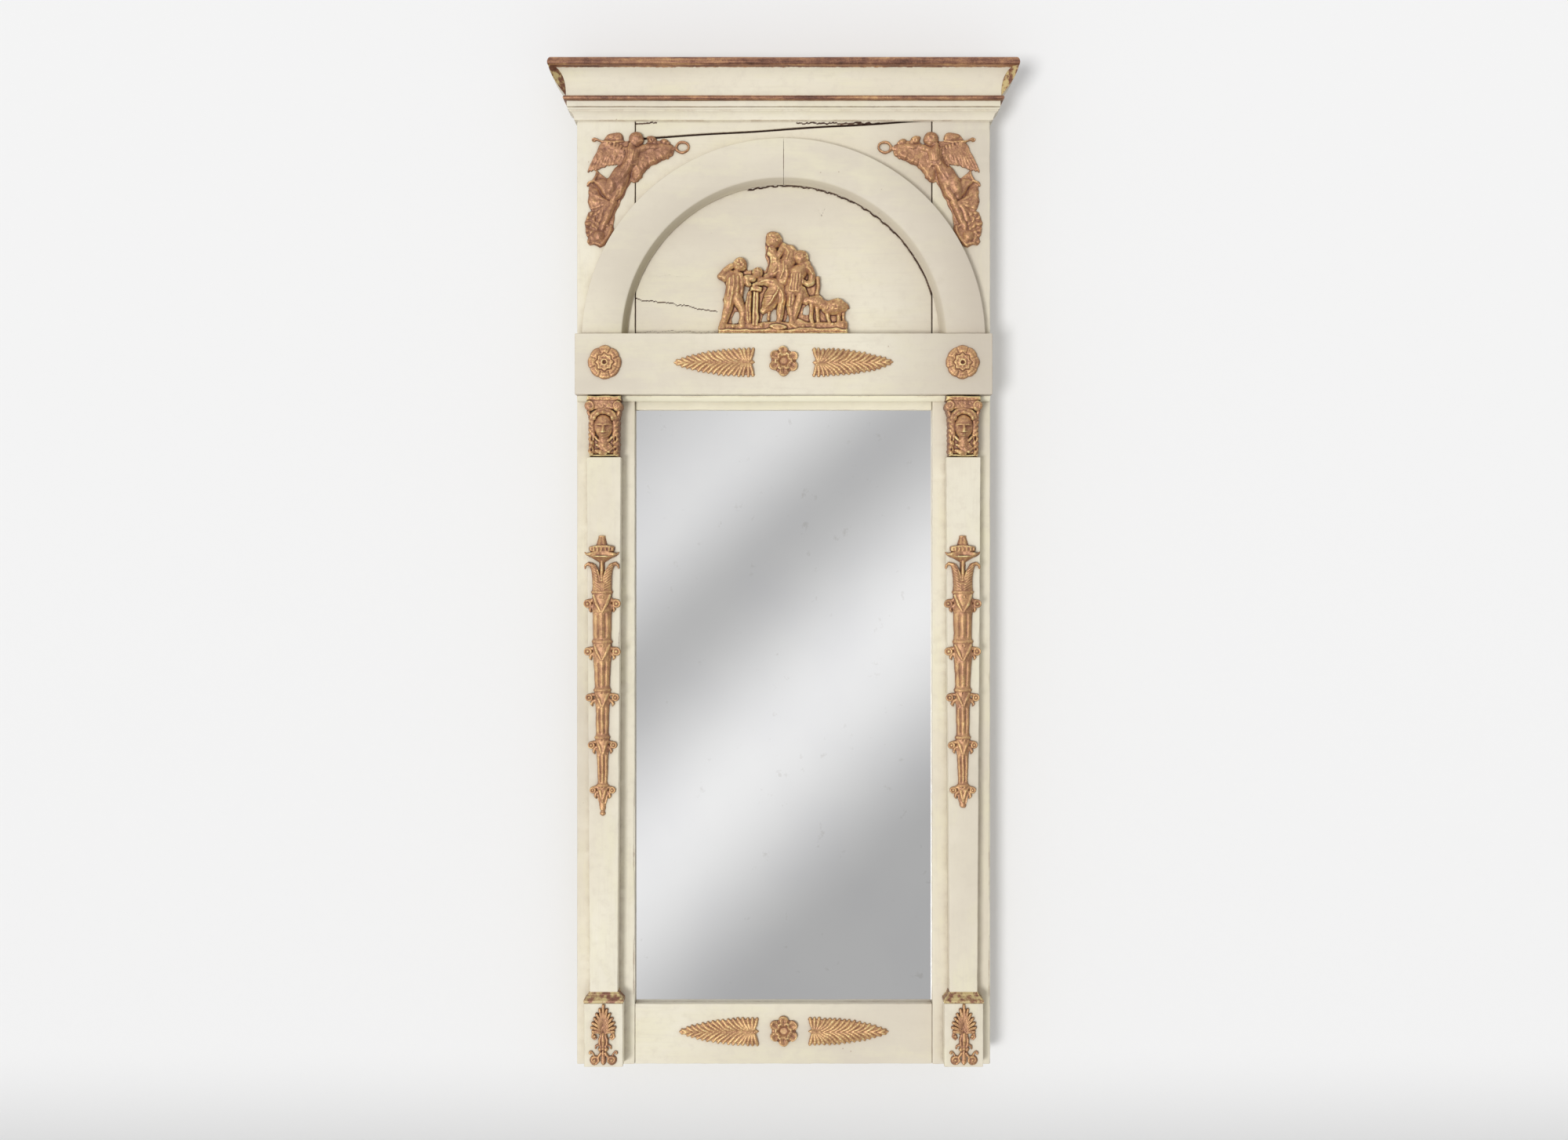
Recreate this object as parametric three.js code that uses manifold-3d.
// Trumeau mirror: a painted pine frame with an arched upper panel, tapering pilasters,
// gilt mounts and a cornice, hung by two rings at its back.
// Millimetres, +Z up. The front looks along -Y, and the wall is the plane y = 0.
// Heights below are measured from the frame's lower edge. The whole frame is then lowered,
// so that the origin is the middle of the hanging batten's back face.

import * as THREE from 'three';
import { ConvexGeometry } from 'three/addons/geometries/ConvexGeometry.js';
import { mergeVertices } from 'three/addons/utils/BufferGeometryUtils.js';
import Module from 'manifold-3d';

const wasm = await Module();
wasm.setup();

// Carcass
const carcassWidth = 619;
const carcassDepth = 30;
const fit = 0.3; // clearance between pieces that touch

// Stiles and rails
const stileWidth = 86.5;
const bottomRailHeight = 90;
const bottomRailSetback = 1.5;
const sightHeight = 891; // height of glass that shows
const headRailHeight = 60;
const headRailSetback = 8.5;
const tenonLength = 35;
const tenonThickness = 9;
const tenonShoulder = 14; // wood above and below a tenon

// Glass and what holds it
const glassRecess = 16; // from the stile's face to the glass
const rebateWidth = 12;
const glassThickness = 4;
const glassMargin = 2.5; // play between the glass edge and the rebate
const backBoardThickness = 6;
const backBoardCount = 3;
const backBoardGap = 0.8;
const sprigSide = 1.6;
const sprigLength = 16;
const sprigsPerSide = 3;

// Upper panel
const panelThickness = 13;
const panelSetback = 0.5;
const tongueDepth = 7;
const tongueThickness = 6;
const topStripLeft = 24.5; // height of panel above the slanting joint, left end
const topStripRight = -4; // the joint passes behind the cornice at the right end

// Frieze
const friezeHeight = 90.6;
const friezeProjection = 31;
const bedStripHeight = 8;
const bedStripProjection = 10;
const bedStripChamfer = 6;
const railShowing = 11.5; // height of head rail seen below the bed strip

// Arch
const archMargin = 9.2; // from the carcass side to the arch's outer edge
const archBandWidth = 66.4;
const archProjection = 20;
const archHeadroom = 27.4; // from the arch's crown to the cornice
const archCentreDrop = 8; // below the frieze's top edge
const archSteps = 40;

// Cornice
const corniceProjection = 40;
const bedHeight = 29.2;
const filletHeight = 6.9;
const filletProjection = 19.5;
const coveHeight = 37.4;
const coveFoot = 15;
const coveHead = 30;
const crownHeight = 59;
const topBoardThickness = 10;

// Pilasters and plinths
const pilasterInset = 42.5; // from the carcass side to the pilaster's axis
const pilasterTopWidth = 50.8;
const pilasterFootWidth = 41.4;
const pilasterProjection = 26;
const capitalHeight = 92;
const plinthWidth = 57.5;
const plinthHeight = 94;
const plinthLift = 4; // the blocks stop short of the floor edge
const plinthCapHeight = 15.4;
const plinthCapOverhang = 0.8;

// Hanging gear
const battenHeight = 60;
const battenThickness = 12;
const battenLap = 40;
const battenDrop = 104; // from the cornice's underside to the batten's middle
const hangerDrop = 42; // from the cornice's underside to the hanger plate's middle
const plateWidth = 30;
const plateHeight = 46;
const plateThickness = 2;
const wireRadius = 2;
const ringHalfWidth = 13;
const ringLeg = 8;
const knuckleRadius = 4.4;
const knuckleLength = 16;
const knuckleBore = 2.4;
const screwRadius = 1.7;
const screwLength = 18;
const screwHeadRadius = 3.4;
const screwSpacing = 24;

// Gilt mounts
const leafLength = 120;
const leafHalfWidth = 20;
const leafRelief = 6;
const leafTeeth = 7;
const friezeLeafStart = 43.5; // from the middle to a leaf's broad end
const baseLeafStart = 38;
const centreRosetteRadius = 23.2;
const cornerRosetteRadius = 25.4;
const rosetteRelief = 9;
const torchDrop = 117; // from the capital's underside to the torch's top
const torchLength = 416.5; // of the left one, which has kept its ball
const brokenTailLoss = 12; // by which the right one is shorter
const torchFlatness = 0.62;
const scrollRadius = 5.8;
const scrollRelief = 7;
const palmetteHeight = 89;
const palmetteRelief = 6;
const figureRelief = 0.85; // how round the spandrel figures are
const figureRoom = 60; // depth over which they keep clear of the arch
const groupSlabHeight = 17.5;
const groupSlabWidth = 196;
const groupSlabDepth = 20;
const groupRelief = 0.95;

// Places worked out from the sizes above
const halfCarcass = carcassWidth / 2;
const halfSight = halfCarcass - stileWidth;
const stileFace = -carcassDepth;
const glassPlane = stileFace + glassRecess;
const sightTop = bottomRailHeight + sightHeight;
const bedStripBottom = sightTop + railShowing;
const friezeBottom = bedStripBottom + bedStripHeight;
const friezeTop = friezeBottom + friezeHeight;
const friezeFace = stileFace - friezeProjection;
const archCentre = friezeTop - archCentreDrop;
const archOuterRadius = halfCarcass - archMargin;
const archInnerRadius = archOuterRadius - archBandWidth;
const corniceBottom = archCentre + archOuterRadius + archHeadroom;
const crownBottom = corniceBottom + bedHeight;
const frameHeight = crownBottom + crownHeight;
const carcassTop = frameHeight - topBoardThickness - fit;
const panelFace = stileFace + panelSetback;
const panelBottom = sightTop + headRailHeight + fit;
const pilasterAxis = halfCarcass - pilasterInset;
const pilasterFace = stileFace - pilasterProjection;
const plinthTop = plinthLift + plinthHeight;
const shaftBottom = plinthTop + plinthCapHeight + fit;
const capitalBottom = friezeBottom - fit - capitalHeight;
const battenMiddle = corniceBottom - battenDrop;
const hangerMiddle = corniceBottom - hangerDrop;

// Finishes
const paint = () => new THREE.MeshStandardMaterial({ color: 0xe3dcc6, roughness: 0.6, metalness: 0 });
const gilt = () => new THREE.MeshStandardMaterial({ color: 0xa8743f, roughness: 0.42, metalness: 0.6 });
const rubbedGilt = () => new THREE.MeshStandardMaterial({ color: 0x8a5836, roughness: 0.5, metalness: 0.4 });
const silvered = () => new THREE.MeshStandardMaterial({ color: 0xd8dada, roughness: 0.03, metalness: 1 });
const pine = () => new THREE.MeshStandardMaterial({ color: 0x9a7650, roughness: 0.8, metalness: 0 });
const iron = () => new THREE.MeshStandardMaterial({ color: 0x45403b, roughness: 0.6, metalness: 0.8 });

const mirror = new THREE.Group();
mirror.name = 'trumeau_mirror';
mirror.position.z = -battenMiddle;

// A closed geometry as a solid that can be joined and cut
function toSolid(geometry) {
  const merged = mergeBare(geometry);
  const corners = merged.index.array;
  const kept = [];
  for (let i = 0; i < corners.length; i += 3) {
    const [a, b, c] = [corners[i], corners[i + 1], corners[i + 2]];
    if (a !== b && b !== c && c !== a) kept.push(a, b, c);
  }
  const vertProperties = Float32Array.from(merged.attributes.position.array);
  return new wasm.Manifold(new wasm.Mesh({ numProp: 3, vertProperties, triVerts: Uint32Array.from(kept) }));
}

function toGeometry(solid) {
  const mesh = solid.getMesh();
  const geometry = new THREE.BufferGeometry();
  geometry.setAttribute('position', new THREE.BufferAttribute(Float32Array.from(mesh.vertProperties), 3));
  geometry.setIndex(new THREE.BufferAttribute(Uint32Array.from(mesh.triVerts), 1));
  geometry.computeVertexNormals();
  return geometry;
}

function joined(geometries) {
  return geometries.map(toSolid).reduce((whole, piece) => whole.add(piece));
}

function cutFrom(body, geometries) {
  return geometries.map(toSolid).reduce((left, tool) => left.subtract(tool), body);
}

function place(name, geometry, material) {
  const mesh = new THREE.Mesh(geometry, material);
  mesh.name = name;
  mirror.add(mesh);
}

// A box from its lowest to its highest corner
function block([x0, y0, z0], [x1, y1, z1]) {
  const geometry = new THREE.BoxGeometry(x1 - x0, y1 - y0, z1 - z0);
  geometry.translate((x0 + x1) / 2, (y0 + y1) / 2, (z0 + z1) / 2);
  return geometry;
}

// An outline in x and z, as thick as given, with its back on the plane y = back
function slab(outline, back, thickness, bevel = 0, bevelSize = bevel) {
  const shape = new THREE.Shape(outline.map(([x, z]) => new THREE.Vector2(x, z)));
  const geometry = new THREE.ExtrudeGeometry(shape, {
    depth: thickness - bevel,
    bevelEnabled: bevel > 0,
    bevelThickness: bevel,
    bevelSize,
    bevelOffset: -bevelSize,
    bevelSegments: 1,
    curveSegments: 8,
  });
  geometry.rotateX(Math.PI / 2);
  geometry.translate(0, back, 0);
  return geometry;
}

// The part of a solid that stands in front of a plane
function inFrontOf(solid, back) {
  const reach = 2 * frameHeight;
  return solid.intersect(toSolid(block([-reach, -reach, -reach], [reach, back, reach])));
}

function rod(from, to, radius, sides = 12) {
  const a = new THREE.Vector3(...from);
  const b = new THREE.Vector3(...to);
  const geometry = new THREE.CylinderGeometry(radius, radius, a.distanceTo(b), sides);
  const turn = new THREE.Quaternion().setFromUnitVectors(new THREE.Vector3(0, 1, 0), b.clone().sub(a).normalize());
  geometry.applyQuaternion(turn);
  geometry.translate((a.x + b.x) / 2, (a.y + b.y) / 2, (a.z + b.z) / 2);
  return geometry;
}

function ballPoints(x, y, z, radius, flat) {
  const ball = new THREE.SphereGeometry(radius, 6, 4);
  ball.rotateX(Math.PI / 2);
  ball.scale(1, flat, 1);
  ball.translate(x, y, z);
  const corners = ball.attributes.position;
  return Array.from({ length: corners.count }, (_, i) => new THREE.Vector3().fromBufferAttribute(corners, i));
}

// A limb that tapers from one rounded end to the other, flattened towards its ground
function limb([x0, z0, r0], [x1, z1, r1], y, flat) {
  return new ConvexGeometry([...ballPoints(x0, y, z0, r0, flat), ...ballPoints(x1, y, z1, r1, flat)]);
}

function chain(points, y, flat) {
  return points.slice(1).map((point, i) => limb(points[i], point, y, flat));
}

// ---- Carcass: stiles, rails, panel

function stileSolid(side) {
  const inner = halfSight;
  const box = toSolid(block([inner, stileFace, 0], [halfCarcass, 0, carcassTop]));
  const grooveMiddle = panelFace + panelThickness / 2;
  const tenonMiddle = -carcassDepth / 2;
  const plate = hangerPlaces(1);
  const cuts = [
    block([inner - 1, glassPlane, bottomRailHeight - rebateWidth],
      [inner + rebateWidth, 1, sightTop + rebateWidth]),
    block([inner - 1, grooveMiddle - tongueThickness / 2 - fit, panelBottom],
      [inner + tongueDepth + fit, grooveMiddle + tongueThickness / 2 + fit, carcassTop + 1]),
    block([inner - 1, tenonMiddle - tenonThickness / 2 - fit, tenonShoulder - fit],
      [inner + tenonLength + fit, tenonMiddle + tenonThickness / 2 + fit, bottomRailTenonTop + fit]),
    block([inner - 1, tenonMiddle - tenonThickness / 2 - fit, sightTop + tenonShoulder - fit],
      [inner + tenonLength + fit, tenonMiddle + tenonThickness / 2 + fit, headRailTenonTop + fit]),
    block([inner - 1, -battenThickness - fit, battenMiddle - battenHeight / 2 - fit],
      [inner + battenLap + fit, 1, battenMiddle + battenHeight / 2 + fit]),
    ...sprigHeights.map((z) => sprigShape(1, z, fit)),
    ...plate.screws.map(([x, z]) => rod([x, 1, z], [x, plateThickness - screwLength - fit, z], screwRadius + fit, 6)),
  ];
  const solid = cutFrom(box, cuts);
  return side > 0 ? toGeometry(solid) : mirrored(toGeometry(solid));
}

function mirrored(geometry) {
  const flipped = geometry.clone();
  flipped.scale(-1, 1, 1);
  const corners = flipped.index.array;
  for (let i = 0; i < corners.length; i += 3) {
    [corners[i], corners[i + 1]] = [corners[i + 1], corners[i]];
  }
  flipped.computeVertexNormals();
  return flipped;
}

const bottomRailTenonTop = bottomRailHeight - rebateWidth - tenonShoulder / 2;
const headRailTenonTop = sightTop + headRailHeight - tenonShoulder;
const boardBottom = bottomRailHeight - rebateWidth + fit;
const boardTop = sightTop + rebateWidth - fit;
const sprigHeights = Array.from({ length: sprigsPerSide },
  (_, i) => boardBottom + ((i + 0.5) * (boardTop - boardBottom)) / sprigsPerSide);

// A cut sprig in the rebate's side wall, behind the back boards
function sprigShape(side, z, room = 0) {
  const wall = halfSight + rebateWidth;
  const boardsBack = glassPlane + fit + glassThickness + fit + backBoardThickness;
  const half = sprigSide / 2 + room;
  const y = boardsBack + fit + sprigSide / 2;
  const ends = [wall - sprigLength / 2, wall + sprigLength / 2 + room].map((x) => side * x);
  return block([Math.min(...ends), y - half, z - half], [Math.max(...ends), y + half, z + half]);
}

function railSolid(bottom, top, face, rebateBottom, rebateTop, tenonBottom, tenonTop) {
  const middle = -carcassDepth / 2;
  const reach = halfSight - fit;
  const rail = joined([
    block([-reach, face, bottom], [reach, 0, top]),
    block([-reach - tenonLength, middle - tenonThickness / 2, tenonBottom],
      [reach + tenonLength, middle + tenonThickness / 2, tenonTop]),
  ]);
  const rebate = block([-halfSight, glassPlane, rebateBottom], [halfSight, 1, rebateTop]);
  return toGeometry(cutFrom(rail, [rebate]));
}

// Height of the slanting joint in the upper panel, at x
function jointHeight(x) {
  const share = (x + halfSight) / (2 * halfSight);
  return corniceBottom - (topStripLeft + (topStripRight - topStripLeft) * share);
}

function panelPiece(lower, upper) {
  const reach = halfSight - fit;
  const outline = (half) => [
    [-half, lower(-half)], [half, lower(half)], [half, upper(half)], [-half, upper(-half)],
  ];
  const tongueBack = panelFace + (panelThickness + tongueThickness) / 2;
  return toGeometry(joined([
    slab(outline(reach), panelFace + panelThickness, panelThickness),
    slab(outline(reach + tongueDepth), tongueBack, tongueThickness),
  ]));
}

function makeCarcass() {
  place('left_stile', stileSolid(-1), paint());
  place('right_stile', stileSolid(1), paint());
  place('bottom_rail', railSolid(0, bottomRailHeight, stileFace + bottomRailSetback,
    bottomRailHeight - rebateWidth, bottomRailHeight + 1, tenonShoulder, bottomRailTenonTop), paint());
  place('head_rail', railSolid(sightTop, sightTop + headRailHeight, stileFace + headRailSetback,
    sightTop - 1, sightTop + rebateWidth, sightTop + tenonShoulder, headRailTenonTop), paint());
  const halfJoint = 0.35;
  place('upper_panel', panelPiece(() => panelBottom, (x) => jointHeight(x) - halfJoint), paint());
  place('upper_panel_strip', panelPiece((x) => jointHeight(x) + halfJoint, () => carcassTop), paint());
}

// ---- Glass and back

function makeGlassAndBack() {
  const halfGlass = halfSight + rebateWidth - glassMargin;
  const glassBottom = bottomRailHeight - rebateWidth + glassMargin;
  const glassTop = sightTop + rebateWidth - glassMargin;
  const glassFront = glassPlane + fit;
  const glassBack = glassFront + glassThickness;
  place('mirror_glass', block([-halfGlass, glassFront, glassBottom], [halfGlass, glassBack, glassTop]), silvered());

  const halfBoard = halfSight + rebateWidth - fit;
  const boardFront = glassBack + fit;
  const rise = (boardTop - boardBottom + backBoardGap) / backBoardCount;
  for (let i = 0; i < backBoardCount; i += 1) {
    const low = boardBottom + i * rise;
    place(`back_board_${i + 1}`, block([-halfBoard, boardFront, low],
      [halfBoard, boardFront + backBoardThickness, low + rise - backBoardGap]), pine());
  }
  sprigHeights.forEach((z, i) => {
    place(`left_sprig_${i + 1}`, sprigShape(-1, z), iron());
    place(`right_sprig_${i + 1}`, sprigShape(1, z), iron());
  });
  const battenReach = halfSight + battenLap;
  place('hanging_batten', block([-battenReach, -battenThickness, battenMiddle - battenHeight / 2],
    [battenReach, 0, battenMiddle + battenHeight / 2]), pine());
}

// ---- Frieze and arch

function makeFrieze() {
  place('frieze_board', block([-halfCarcass, friezeFace, friezeBottom], [halfCarcass, stileFace - fit, friezeTop]),
    paint());
  place('frieze_bed_strip', bedStrip(), paint());
}

// The strip under the frieze, chamfered along its lower front edge
function bedStrip() {
  const [back, face] = [carcassDepth + fit, carcassDepth + bedStripProjection];
  const section = new THREE.Shape([
    new THREE.Vector2(back, bedStripBottom), new THREE.Vector2(back, friezeBottom - fit),
    new THREE.Vector2(face, friezeBottom - fit), new THREE.Vector2(face, bedStripBottom + bedStripChamfer),
    new THREE.Vector2(back + 2, bedStripBottom),
  ]);
  return alongX(section, -halfCarcass + 1, halfCarcass - 1);
}

// A section drawn as (distance in front of the wall, height), run from x0 to x1
function alongX(section, x0, x1) {
  const geometry = new THREE.ExtrudeGeometry(section, { depth: x1 - x0, bevelEnabled: false, curveSegments: 6 });
  const turn = new THREE.Matrix4().makeBasis(
    new THREE.Vector3(0, -1, 0), new THREE.Vector3(0, 0, 1), new THREE.Vector3(-1, 0, 0));
  geometry.applyMatrix4(turn);
  geometry.translate(x1, 0, 0);
  return geometry;
}

function archHalf(side) {
  const shape = new THREE.Shape();
  const foot = friezeTop + fit;
  const outerStart = Math.asin((foot - archCentre) / archOuterRadius);
  const innerStart = Math.asin((foot - archCentre) / archInnerRadius);
  const halfJoint = 0.3;
  const along = (radius, start, share) => {
    const angle = start + (Math.acos(halfJoint / radius) - start) * share;
    return new THREE.Vector2(side * radius * Math.cos(angle), archCentre + radius * Math.sin(angle));
  };
  const steps = archSteps / 2;
  const points = [];
  for (let i = 0; i <= steps; i += 1) points.push(along(archOuterRadius, outerStart, i / steps));
  for (let i = steps; i >= 0; i -= 1) points.push(along(archInnerRadius, innerStart, i / steps));
  shape.setFromPoints(points);
  const geometry = new THREE.ExtrudeGeometry(shape, { depth: archProjection - fit, bevelEnabled: false });
  geometry.rotateX(Math.PI / 2);
  geometry.translate(0, stileFace - fit, 0);
  return geometry;
}

function makeArch() {
  place('arch_band_left', archHalf(-1), paint());
  place('arch_band_right', archHalf(1), paint());
}

// ---- Cornice. Profiles are drawn as (projection from the carcass, height above their foot).

function bedProfile() {
  const shape = new THREE.Shape();
  shape.moveTo(fit, 0);
  shape.lineTo(2, 0);
  shape.lineTo(2, 2.6);
  shape.lineTo(4, 3);
  shape.bezierCurveTo(4.4, 9, 7.5, 13, 11, 15);
  shape.lineTo(11, 16.4);
  shape.quadraticCurveTo(14.6, 18.6, 11.4, 20.8);
  shape.lineTo(coveFoot - 1, 20.8);
  shape.lineTo(coveFoot - 1, bedHeight);
  shape.lineTo(fit, bedHeight);
  shape.closePath();
  return shape;
}

function crownProfile() {
  const top = frameHeight - crownBottom;
  const coveBottom = filletHeight;
  const coveTop = coveBottom + coveHeight;
  const shape = new THREE.Shape();
  shape.moveTo(fit, fit);
  shape.lineTo(coveFoot - 1, fit);
  shape.lineTo(filletProjection - 1.5, 0.8);
  shape.quadraticCurveTo(filletProjection + 1, coveBottom / 2, filletProjection - 1.5, coveBottom - 0.4);
  shape.lineTo(coveFoot, coveBottom);
  shape.bezierCurveTo(coveFoot, coveBottom + coveHeight * 0.6, coveHead - 10, coveTop - 6, coveHead, coveTop);
  shape.lineTo(coveHead + 4, coveTop);
  shape.quadraticCurveTo(corniceProjection, coveTop + 1, corniceProjection, coveTop + 4.5);
  shape.lineTo(corniceProjection - 2, top);
  shape.lineTo(fit, top);
  shape.closePath();
  return shape;
}

// A moulding across the front, mitred at both ends, or along one side, mitred at its front end
function moulding(profile, foot, run) {
  const mitreRoom = run === 'front' ? 0 : fit * 1.5;
  const length = run === 'front' ? carcassWidth : carcassDepth;
  const geometry = new THREE.ExtrudeGeometry(profile, { depth: length, bevelEnabled: false, curveSegments: 5 });
  const corners = geometry.attributes.position;
  for (let i = 0; i < corners.count; i += 1) {
    const projection = corners.getX(i);
    const height = corners.getY(i) + foot;
    const atFarEnd = corners.getZ(i) > length / 2;
    if (run === 'front') {
      const x = atFarEnd ? halfCarcass + projection : -halfCarcass - projection;
      corners.setXYZ(i, x, -carcassDepth - projection, height);
    } else {
      const y = atFarEnd ? -carcassDepth - projection + mitreRoom : -fit;
      corners.setXYZ(i, halfCarcass + projection, y, height);
    }
  }
  const indexed = mergeBare(geometry);
  if (run === 'left') return mirroredOut(indexed, true);
  return mirroredOut(indexed, false);
}

function mergeBare(geometry) {
  const bare = geometry.clone();
  for (const name of Object.keys(bare.attributes)) {
    if (name !== 'position') bare.deleteAttribute(name);
  }
  return mergeVertices(bare, 1e-4);
}

// Turns a closed geometry's faces outwards, on the right side or mirrored to the left
function mirroredOut(geometry, toLeft) {
  const result = toLeft ? mirrored(geometry) : geometry;
  if (volumeOf(result) < 0) {
    const corners = result.index.array;
    for (let i = 0; i < corners.length; i += 3) {
      [corners[i], corners[i + 1]] = [corners[i + 1], corners[i]];
    }
  }
  result.computeVertexNormals();
  return result;
}

function volumeOf(geometry) {
  const points = geometry.attributes.position;
  const corners = geometry.index.array;
  const [a, b, c] = [new THREE.Vector3(), new THREE.Vector3(), new THREE.Vector3()];
  let sum = 0;
  for (let i = 0; i < corners.length; i += 3) {
    a.fromBufferAttribute(points, corners[i]);
    b.fromBufferAttribute(points, corners[i + 1]);
    c.fromBufferAttribute(points, corners[i + 2]);
    sum += a.dot(b.cross(c));
  }
  return sum / 6;
}

function makeCornice() {
  for (const run of ['front', 'left', 'right']) {
    place(`bed_moulding_${run}`, moulding(bedProfile(), corniceBottom, run), paint());
    place(`cornice_crown_${run}`, moulding(crownProfile(), crownBottom, run), paint());
  }
  place('cornice_top_board', block([-halfCarcass, stileFace, carcassTop + fit], [halfCarcass, -fit, frameHeight]),
    pine());
}

// ---- Pilasters and plinths

function pilaster(side) {
  const x = side * pilasterAxis;
  const [foot, top] = [pilasterFootWidth / 2, pilasterTopWidth / 2];
  const outline = [
    [x - foot, shaftBottom], [x + foot, shaftBottom],
    [x + top, capitalBottom - fit], [x - top, capitalBottom - fit],
  ];
  return slab(outline, stileFace - fit, pilasterProjection - fit);
}

function plinthBlock(side) {
  const x = side * pilasterAxis;
  const half = plinthWidth / 2;
  return block([x - half, friezeFace, plinthLift], [x + half, stileFace - fit, plinthTop]);
}

// The plinth's cap: a low cyma on three sides, drawn in steps that draw in from foot to top
function plinthCap(side) {
  const x = side * pilasterAxis;
  const foot = plinthWidth / 2 + plinthCapOverhang;
  const top = pilasterFootWidth / 2 + 1;
  const rings = [
    [foot, 0], [foot, 0.32], [foot - 2, 0.4], [foot - 3, 0.6], [top + 1.2, 0.74], [top + 1.2, 0.84], [top, 1],
  ];
  const steps = rings.slice(1).map(([half, share], i) => {
    const [lowHalf, lowShare] = rings[i];
    const corners = [[lowHalf, lowShare], [half, share]].flatMap(([h, s]) => {
      const z = plinthTop + fit + s * (plinthCapHeight - fit);
      const front = friezeFace - plinthCapOverhang + (foot - h);
      return [
        new THREE.Vector3(x - h, stileFace - fit, z), new THREE.Vector3(x + h, stileFace - fit, z),
        new THREE.Vector3(x - h, front, z), new THREE.Vector3(x + h, front, z),
      ];
    });
    return new ConvexGeometry(corners);
  });
  return toGeometry(joined(steps));
}

// ---- Capitals: a mask with plaited hair under an ionic abacus

function capital(side) {
  const x = side * pilasterAxis;
  const back = stileFace - fit;
  const base = capitalBottom;
  const top = friezeBottom - fit;
  const size = capitalHeight / 92; // the numbers below are for a capital 92 mm high
  const core = 20 * size;
  const coreFace = pilasterFace + 2 * size;
  const at = (dx, dz, r) => [x + dx * size, base + dz * size, r * size];
  const faceDepth = coreFace - 3 * size;
  const plaits = [-1, 1].flatMap((s) => [
    ...chain([at(s * 12, 60, 5), at(s * 18, 50, 5.5), at(s * 19, 30, 5), at(s * 18, 10, 5)], coreFace, 1.1),
  ]);
  const abacusHalf = 27.2 * size;
  const abacus = block([x - abacusHalf, pilasterFace - 5 * size, top - 10 * size], [x + abacusHalf, back, top]);
  const volutes = [-1, 1].map((s) => {
    const [vx, vz] = [x + s * 20 * size, base + 76 * size];
    return rod([vx, back, vz], [vx, pilasterFace - 7 * size, vz], 7.4 * size, 14);
  });
  const parts = [
    block([x - core, coreFace, base], [x + core, back, top]),
    block([x - 23.4 * size, coreFace - 5 * size, base], [x + 23.4 * size, back, base + 5 * size]),
    abacus,
    ...volutes,
    limb(at(0, 50, 12.5), at(0, 40, 10.5), faceDepth, 1.1),
    limb(at(-10, 60, 6), at(10, 60, 6), faceDepth, 1.2),
    limb(at(-7, 66, 6), at(7, 66, 6), faceDepth, 1.1),
    limb(at(0, 52, 1.4), at(0, 43, 2.2), faceDepth - 13 * size, 1.1),
    limb(at(0, 28, 8), at(0, 20, 8), coreFace, 1),
    limb(at(-9, 12, 9), at(9, 12, 9), coreFace, 0.9),
    ...plaits,
  ];
  const solid = joined(parts);
  const stripRoom = block([-halfCarcass, stileFace - bedStripProjection - fit, bedStripBottom - fit],
    [halfCarcass, stileFace, top + 1]);
  return toGeometry(inFrontOf(cutFrom(solid, [stripRoom]), back));
}

// ---- Leaves and rosettes

// Half width of a palm leaf at a distance from its broad end
function leafHalf(u) {
  return leafHalfWidth * Math.pow(1 - Math.pow(u / leafLength, 2.2), 0.8);
}

// A palm leaf that points along dir from its broad end at x, on the plane y = ground
function palmLeaf(x, z, dir, ground) {
  const edge = [];
  const steps = leafTeeth * 2;
  for (let i = 0; i < steps; i += 1) {
    const u = (i / steps) * leafLength * 0.985;
    const tooth = i % 2 ? 0.9 : 1;
    edge.push([x + dir * u, leafHalf(u) * tooth]);
  }
  const outline = [
    [x + dir * 6, 0.42 * leafHalfWidth], ...edge, [x + dir * leafLength, 0],
  ].map(([px, half]) => [px, z + half]);
  const lower = [...edge].reverse().map(([px, half]) => [px, z - half]);
  const notch = [[x + dir * 6, z - 0.42 * leafHalfWidth], [x - dir * 2, z]];
  const blade = slab([...outline, ...lower, ...notch], ground, leafRelief, leafRelief * 0.6, 1.6);
  const rib = limb([x + dir * 8, z, 3.4], [x + dir * leafLength * 0.86, z, 1.2], ground - leafRelief + 1, 0.7);
  return toGeometry(inFrontOf(joined([blade, rib]), ground));
}

function rosette(x, z, radius, ground, petals, lobe) {
  const outline = Array.from({ length: petals * 4 }, (_, i) => {
    const angle = (i / (petals * 4)) * 2 * Math.PI + Math.PI / 2;
    const reach = radius * (1 - lobe * (0.5 - 0.5 * Math.cos(petals * (angle - Math.PI / 2))));
    return [x + reach * Math.cos(angle), z + reach * Math.sin(angle)];
  });
  const disc = slab(outline, ground, rosetteRelief * 0.62, rosetteRelief * 0.4, radius * 0.1);
  const ring = Array.from({ length: petals }, (_, i) => {
    const angle = (i / petals) * 2 * Math.PI + Math.PI / 2;
    const [dx, dz] = [Math.cos(angle), Math.sin(angle)];
    return limb([x + dx * radius * 0.42, z + dz * radius * 0.42, radius * 0.13],
      [x + dx * radius * 0.74, z + dz * radius * 0.74, radius * 0.16], ground - rosetteRelief * 0.5, 0.9);
  });
  const boss = limb([x, z, radius * 0.24], [x, z + 0.5, radius * 0.24], ground - rosetteRelief * 0.6, 0.6);
  return toGeometry(inFrontOf(joined([disc, ...ring, boss]), ground));
}

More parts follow.
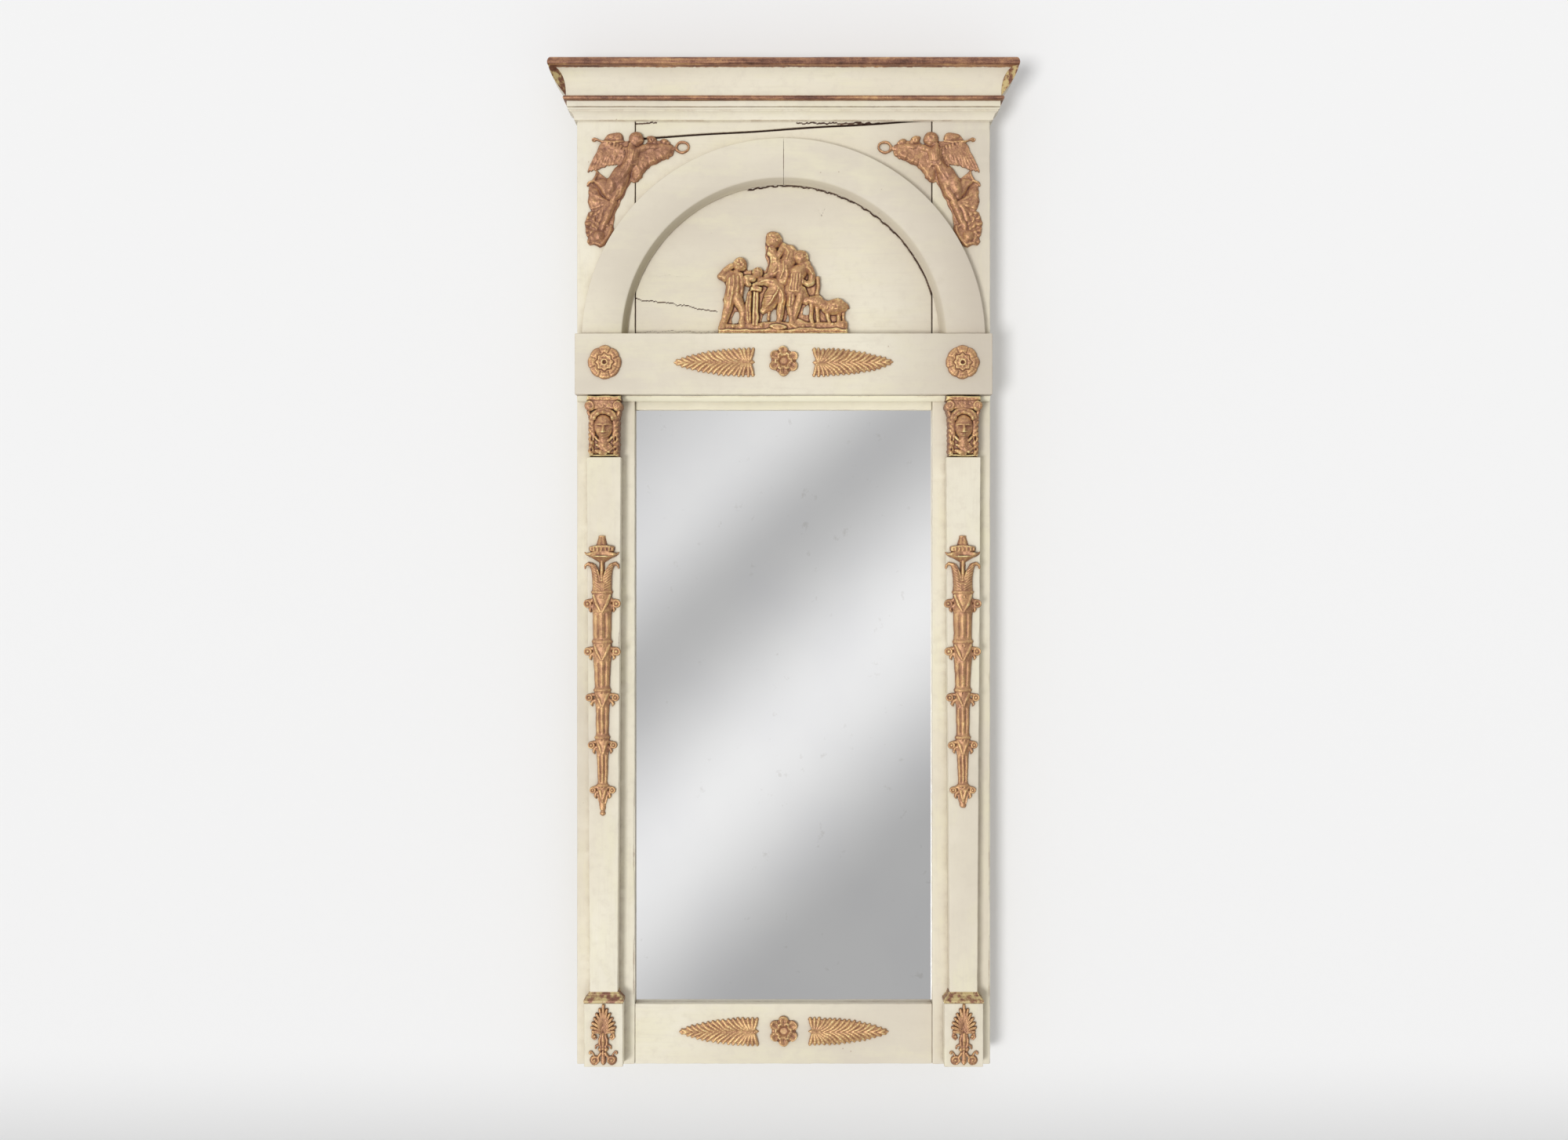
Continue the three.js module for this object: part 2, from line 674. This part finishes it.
function makeFriezeMounts() {
  const ground = friezeFace - fit;
  const z = (friezeBottom + friezeTop) / 2 + 2;
  place('frieze_leaf_left', palmLeaf(-friezeLeafStart, z, -1, ground), gilt());
  place('frieze_leaf_right', palmLeaf(friezeLeafStart, z, 1, ground), gilt());
  place('frieze_rosette', rosette(0, z + 2, centreRosetteRadius, ground, 6, 0.2), gilt());
  place('corner_rosette_left', rosette(-pilasterAxis + 2, z, cornerRosetteRadius, ground, 8, 0.1), gilt());
  place('corner_rosette_right', rosette(pilasterAxis - 2, z, cornerRosetteRadius, ground, 8, 0.1), gilt());
  const railGround = stileFace + bottomRailSetback - fit;
  const railZ = bottomRailHeight / 2 + 3.5;
  place('base_leaf_left', palmLeaf(-baseLeafStart, railZ, -1, railGround), gilt());
  place('base_leaf_right', palmLeaf(baseLeafStart, railZ, 1, railGround), gilt());
  place('base_rosette', rosette(0, railZ + 1, centreRosetteRadius, railGround, 6, 0.2), gilt());
}

// ---- Torches: a flaming bowl on a stem of five leafy joints, each with a pair of scrolls

// Sizes of a torch 416.5 mm long: each joint's length, half width at its top and foot,
// and how far its pair of scrolls stands out
const torchJoints = [
  { length: 60.5, top: 14.5, foot: 11.6, scroll: 21.2 },
  { length: 73, top: 13.3, foot: 11.2, scroll: 20 },
  { length: 69.5, top: 10, foot: 8.7, scroll: 16.8 },
  { length: 73, top: 8.7, foot: 7, scroll: 15.4 },
];
const torchHead = { finial: 17.4, rim: 8, bowl: 14, calyx: 43, band: 11.5 };
const torchTail = 46;

function torch(side, loss, tailBall) {
  const x = side * pilasterAxis;
  const ground = pilasterFace - fit;
  const size = torchLength / 416.5;
  let z = -torchHead.finial;
  const rim = z - torchHead.rim;
  const profile = [[0, 0], [6, 0], [10, z + 2], [21, z], [21, rim], [25.5, rim - 2]];
  z -= torchHead.rim + torchHead.bowl;
  profile.push([8, z], [6, z - 2], [15, z - 8], [16, z - 18]);
  z -= torchHead.calyx;
  profile.push([13, z + 3], [15, z + 1], [15, z - 1], [13.4, z - 2.5], [13.4, z - torchHead.band]);
  const tips = [-1, 1].map((s) => [[s * 10, z + 22, 4], [s * 16, z + 37, 3.6], [s * 22, z + 38, 3]]);
  z -= torchHead.band;
  const scrolls = [];
  for (const joint of torchJoints) {
    profile.push([joint.top, z - 4], [joint.foot, z - joint.length + 4], [joint.foot + 2, z - joint.length + 2],
      [joint.foot + 2, z - joint.length], [joint.foot, z - joint.length - 2]);
    scrolls.push([joint.scroll, z - 4]);
    z -= joint.length;
  }
  scrolls.push([13.3, z - 5]);
  const tail = torchTail - loss / size;
  profile.push([7.5, z - 6], [4.6, z - tail + 8]);
  if (tailBall) profile.push([3, z - tail + 6], [4.8, z - tail + 3], [3, z - tail + 0.5]);
  profile.push([0, z - tail]);

  const top = capitalBottom - torchDrop;
  const at = ([dx, dz, r]) => [x + dx * size, top + dz * size, r * size];
  const outline = profile.map(([r, height]) => new THREE.Vector2(r * size, top + height * size)).reverse();
  const stem = new THREE.LatheGeometry(outline, 8, Math.PI / 8);
  stem.rotateX(Math.PI / 2);
  stem.scale(1, torchFlatness, 1);
  stem.translate(x, ground, 0);
  const pairs = scrolls.flatMap(([out, height]) => [-1, 1].flatMap((s) => {
    const [sx, sz] = at([s * (out - 1), height, 0]);
    return [
      rod([sx, ground + 1, sz], [sx, ground - scrollRelief, sz], scrollRadius * size, 8),
      limb(at([s * (out - 2), height - 5, 3]), at([s * 5, height - 12, 3.4]), ground, 1),
    ];
  }));
  const calyxTips = tips.flatMap((points) => chain(points.map(at), ground, 1));
  return toGeometry(inFrontOf(joined([stem, ...calyxTips, ...pairs]), ground));
}

// ---- Palmettes on the plinth blocks

function palmette(side) {
  const x = side * pilasterAxis;
  const ground = friezeFace - fit;
  const foot = plinthLift + 3;
  const size = palmetteHeight / 89; // the numbers below are for a palmette 89 mm high
  const at = (dx, dz, r) => [x + dx * size, foot + dz * size, r * size];
  const fan = [];
  for (let i = -3; i <= 3; i += 1) {
    const angle = (i / 3) * 1.25;
    const reach = 45 * (1 - 0.62 * Math.pow(Math.abs(i) / 3, 1.1));
    fan.push(limb(at(Math.sin(angle) * 4, 46, 2.6),
      at(Math.sin(angle) * (reach - 3.5), 44 + Math.cos(angle) * (reach - 3.5), 3.5), ground, 1.3));
  }
  const disc = (dx, dz, r, sides) => {
    const [px, pz, radius] = at(dx, dz, r);
    return rod([px, ground + 1, pz], [px, ground - palmetteRelief, pz], radius, sides);
  };
  const scrolls = [-1, 1].flatMap((s) => [
    disc(s * 11, 39, 4.4, 8),
    disc(s * 12.6, 7.5, 7.5, 10),
    limb(at(s * 3, 26, 3), at(s * 16, 24, 2), ground, 1.2),
    limb(at(s * 3, 30, 3.4), at(s * 10, 12, 3), ground, 1.2),
    limb(at(s * 2, 36, 3), at(s * 11, 39, 2.6), ground, 1.2),
  ]);
  const stem = limb(at(0, 44, 4), at(0, 6, 5), ground, 1.2);
  return toGeometry(inFrontOf(joined([...fan, ...scrolls, stem]), ground));
}

// ---- Winged figures in the spandrels, drawn for the right-hand side from the shoulder

function wing(ground, at) {
  const outline = [
    at(6, 2), at(14, 14), at(24, 22), at(34, 20), at(40, 8), at(50, -4), at(60, -16), at(70, -30),
    at(71, -37), at(60, -36), at(52, -44), at(44, -40), at(38, -46), at(30, -38), at(20, -30), at(10, -18),
  ];
  return slab(outline, ground, 7, 3, 2);
}

function spandrelFigure(side) {
  const ground = stileFace - fit;
  const size = archOuterRadius / 300.3; // the numbers below are for an arch of this outer radius
  const at = (dx, dz) => [side * (223 + dx) * size, archCentre + (289.2 + dz) * size];
  const joint = (dx, dz, r) => [...at(dx, dz), r * size];
  const flat = figureRelief;
  const wreath = Array.from({ length: 10 }, (_, i) => {
    const angle = (i / 10) * 2 * Math.PI;
    return joint(-69 + 9.5 * Math.cos(angle), 1.5 + 7 * Math.sin(angle), 3.2);
  });
  const drape = slab([
    at(36, -40), at(58, -38), at(73, -52), at(60, -66), at(70, -80), at(74, -96), at(66, -100), at(60, -118),
    at(66, -132), at(60, -149), at(48, -150), at(40, -138), at(38, -120), at(28, -90), at(20, -70), at(24, -52),
  ], ground, 7, 3, 2);
  const sleeve = slab([
    at(-60, 6), at(-30, 12), at(0, 12), at(4, -8), at(-6, -38), at(-16, -34), at(-28, -22), at(-44, -14), at(-58, -6),
  ], ground, 6, 3, 2);
  const parts = [
    wing(ground, at),
    drape,
    sleeve,
    ...chain([...wreath, wreath[0]], ground - 2, 1),
    limb(joint(-4, 14, 9), joint(-3, 17, 9.5), ground - 2, 0.9),
    limb(joint(2, 6, 5), joint(4, -2, 9), ground - 2, flat),
    limb(joint(4, -4, 12), joint(16, -36, 11), ground, flat),
    limb(joint(16, -36, 11), joint(32, -72, 12.5), ground, flat),
    limb(joint(32, -72, 12), joint(44, -104, 11), ground, flat),
    limb(joint(44, -104, 10), joint(54, -132, 8), ground, flat),
    limb(joint(36, -66, 9), joint(62, -92, 8), ground, flat),
    limb(joint(57, -136, 10), joint(57, -139, 10), ground, 0.8),
    limb(joint(2, 0, 6.5), joint(-30, 4, 5), ground - 2, 1),
    limb(joint(-30, 4, 5), joint(-58, 2, 4), ground - 2, 1),
    limb(joint(30, 18, 4.5), joint(60, 11, 4), ground, 0.9),
  ];
  const archRoom = rod([0, ground + 1, archCentre], [0, ground - figureRoom, archCentre],
    archOuterRadius + 2 * fit, 96);
  return toGeometry(inFrontOf(cutFrom(joined(parts), [archRoom]), ground));
}

// ---- The group on the arch's floor: three draped figures and two animals round a stand

function figureGroup() {
  const ground = panelFace - fit;
  const floor = friezeTop + fit;
  const top = floor + groupSlabHeight;
  const flat = groupRelief;
  const size = archInnerRadius / 233.9; // the numbers below are for an arch of this inner radius
  const at = (x, z, r) => [x * size, floor + z * size, r * size];
  const figure = (points) => chain(points.map(([x, z, r]) => at(x, z, r)), ground - 3, flat);
  const slabHalf = groupSlabWidth / 2;
  const parts = [
    block([-slabHalf, ground - groupSlabDepth, floor], [slabHalf, ground, top]),
    // standing figure on the left
    ...figure([[-66, 106, 10.5], [-66, 92, 9], [-67, 72, 11], [-72, 50, 10], [-80, 20, 7]]),
    ...figure([[-66, 52, 8], [-60, 30, 6], [-61, 14, 6]]),
    ...figure([[-62, 88, 6], [-84, 92, 5], [-92, 98, 4.5]]),
    // figure bending over the stand
    ...figure([[-36, 92, 10], [-24, 84, 11], [-4, 78, 13], [6, 60, 12], [2, 36, 8], [-6, 14, 6]]),
    ...figure([[-26, 78, 7], [-42, 66, 5], [-46, 52, 5]]),
    ...figure([[-40, 14, 9], [-34, 44, 8], [-20, 60, 7]]),
    // tall figure behind
    ...figure([[-16, 145, 11.5], [-14, 132, 8], [-8, 116, 13], [2, 100, 12], [8, 84, 12]]),
    ...figure([[-20, 120, 6], [-30, 102, 5], [-24, 92, 5]]),
    // seated figure on the right
    ...figure([[24, 116, 11], [26, 102, 8], [24, 86, 13], [28, 66, 12], [12, 56, 9], [14, 14, 7]]),
    ...figure([[30, 66, 10], [38, 50, 8], [30, 16, 7]]),
    ...figure([[34, 92, 6], [44, 78, 5], [30, 72, 5]]),
    // stool and animals
    ...figure([[48, 70, 3], [48, 14, 4]]),
    ...figure([[44, 50, 7], [52, 36, 9], [50, 16, 7]]),
    ...figure([[60, 50, 6], [70, 44, 8], [84, 42, 8], [92, 34, 4]]),
    ...figure([[68, 40, 5], [66, 14, 4]]),
    ...figure([[86, 38, 5], [86, 14, 4]]),
    block([-44 * size, ground - 14 * size, floor + 10 * size], [-36 * size, ground, floor + 60 * size]),
  ];
  return toGeometry(inFrontOf(joined(parts), ground));
}

// ---- Hanging gear: plates screwed to the stiles, and rings that swing in their knuckles

function hangerPlaces(side) {
  const x = side * pilasterAxis;
  const z = hangerMiddle;
  return {
    x,
    z,
    pivotY: fit + knuckleRadius,
    pivotZ: z - plateHeight / 2 - knuckleRadius + 1,
    screws: [-1, 1].map((s) => [x, z + (s * screwSpacing) / 2]),
  };
}

function screwShape(x, z, room) {
  const head = new THREE.CylinderGeometry(screwHeadRadius + room, screwRadius + room, plateThickness, 12);
  head.translate(x, fit + plateThickness / 2, 0);
  head.translate(0, 0, z);
  const shank = rod([x, fit + 0.2, z], [x, fit + plateThickness - screwLength, z], screwRadius + room, 6);
  return [head, shank];
}

function makeHangers() {
  for (const [name, side] of [['left', -1], ['right', 1]]) {
    const plate = hangerPlaces(side);
    const leaf = block([plate.x - plateWidth / 2, fit, plate.z - plateHeight / 2],
      [plate.x + plateWidth / 2, fit + plateThickness, plate.z + plateHeight / 2]);
    const barrel = rod([plate.x - knuckleLength / 2, plate.pivotY, plate.pivotZ],
      [plate.x + knuckleLength / 2, plate.pivotY, plate.pivotZ], knuckleRadius, 16);
    const bore = rod([plate.x - knuckleLength, plate.pivotY, plate.pivotZ],
      [plate.x + knuckleLength, plate.pivotY, plate.pivotZ], knuckleBore, 16);
    const holes = plate.screws.flatMap(([x, z]) => screwShape(x, z, fit));
    place(`${name}_hanger_plate`, toGeometry(cutFrom(joined([leaf, barrel]), [bore, ...holes])), iron());
    place(`${name}_hanger_ring`, hangerRing(plate), iron());
    plate.screws.forEach(([x, z], i) => {
      place(`${name}_hanger_screw_${i + 1}`, toGeometry(joined(screwShape(x, z, 0))), iron());
    });
  }
}

// A ring of wire: a straight bar in the knuckle, two short legs and a half round
function hangerRing({ x, pivotY, pivotZ }) {
  const low = pivotZ - ringLeg;
  const pieces = [
    rod([x - ringHalfWidth, pivotY, pivotZ], [x + ringHalfWidth, pivotY, pivotZ], wireRadius, 12),
  ];
  const arc = Array.from({ length: 13 }, (_, i) => {
    const angle = Math.PI + (i / 12) * Math.PI;
    return [ringHalfWidth * Math.cos(angle), low + ringHalfWidth * Math.sin(angle)];
  });
  const loop = [[-ringHalfWidth, pivotZ], ...arc, [ringHalfWidth, pivotZ]];
  loop.slice(1).forEach(([dx, z], i) => {
    const [ax, az] = loop[i];
    pieces.push(new ConvexGeometry([
      ...ballPoints(x + ax, pivotY, az, wireRadius, 1), ...ballPoints(x + dx, pivotY, z, wireRadius, 1)]));
  });
  return toGeometry(joined(pieces));
}

// ---- The whole mirror

makeCarcass();
makeGlassAndBack();
makeFrieze();
makeArch();
makeCornice();
makeFriezeMounts();
for (const [name, side] of [['left', -1], ['right', 1]]) {
  place(`${name}_pilaster`, pilaster(side), paint());
  place(`${name}_plinth_block`, plinthBlock(side), paint());
  place(`${name}_plinth_cap`, plinthCap(side), rubbedGilt());
  place(`${name}_capital`, capital(side), gilt());
  place(`${name}_palmette`, palmette(side), gilt());
  place(`${name}_spandrel_figure`, spandrelFigure(side), gilt());
}
place('left_torch', torch(-1, 0, true), gilt());
place('right_torch', torch(1, brokenTailLoss, false), gilt());
place('tympanum_group', figureGroup(), gilt());
makeHangers();

export default mirror;
